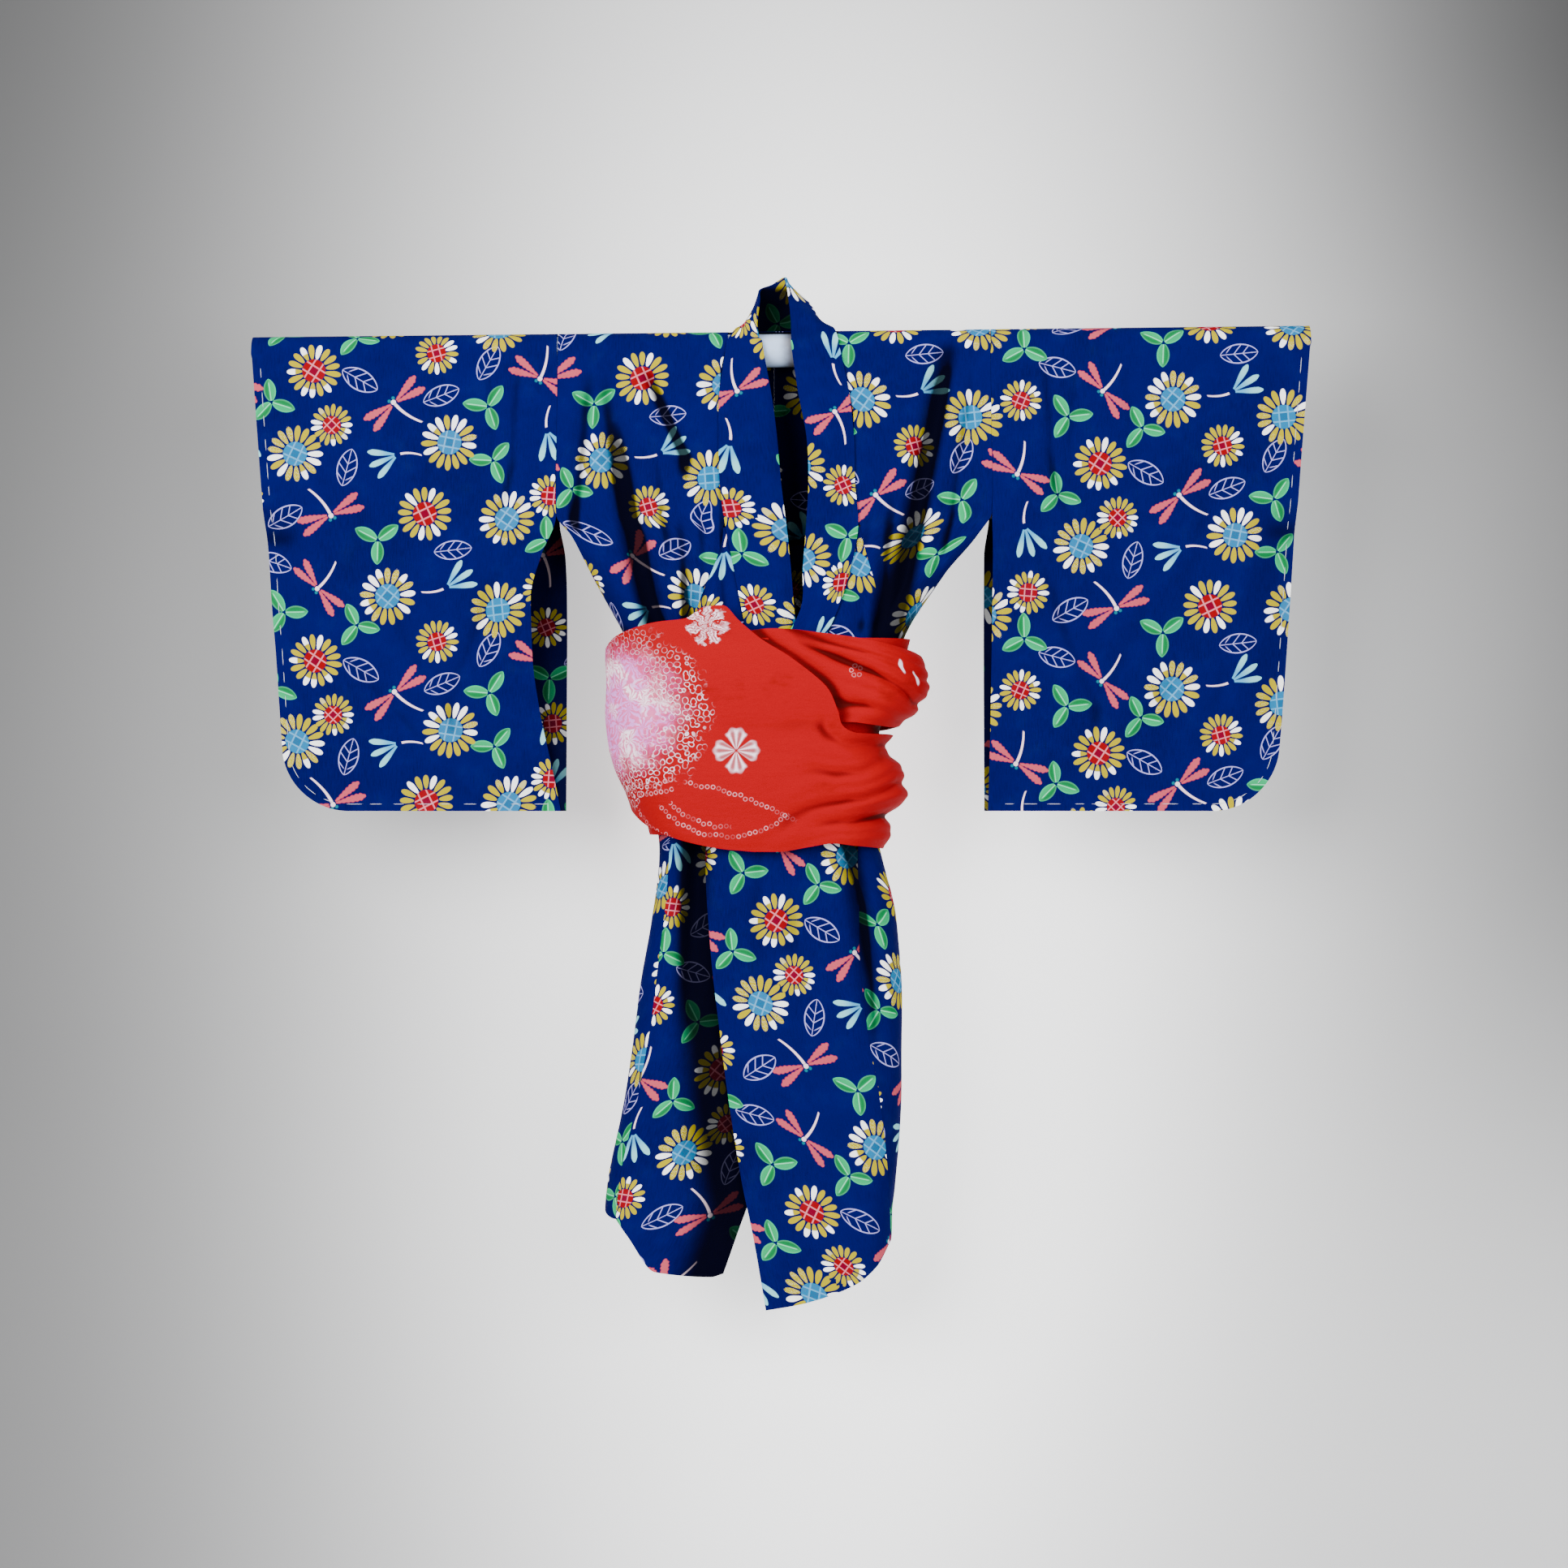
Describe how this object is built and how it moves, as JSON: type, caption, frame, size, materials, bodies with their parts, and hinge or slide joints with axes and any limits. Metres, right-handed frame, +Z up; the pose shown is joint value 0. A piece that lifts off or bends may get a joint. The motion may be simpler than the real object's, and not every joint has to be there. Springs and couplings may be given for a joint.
{
  "type": "yukata with a wound sash on a rod",
  "caption": "Child's yukata hung on a rod through its sleeves, left front over right, gathered at the waist by a wound soft sash, with an open neck, cuffs, side openings and hem.",
  "frame": {"origin": "middle of the rod's axis, where the rod is held", "axes": "+X along the rod towards the wearer's left sleeve, -Y out of the garment's front, +Z up"},
  "size_m": [0.8986, 0.113, 0.8767],
  "materials": {
    "cloth": "matte printed cotton",
    "sash": "soft crinkled tie-dyed cloth",
    "rod": "smooth pale coating"
  },
  "bodies": {
    "root": {"rod": "rod", "sleeve_left": "cloth", "sleeve_right": "cloth", "front_left": "cloth", "front_right": "cloth", "back_left": "cloth", "back_right": "cloth", "okumi_left": "cloth", "okumi_right": "cloth", "collar": "cloth", "sash_under": "sash", "sash_upper": "sash", "sash_front": "sash"}
  },
  "joints": []
}
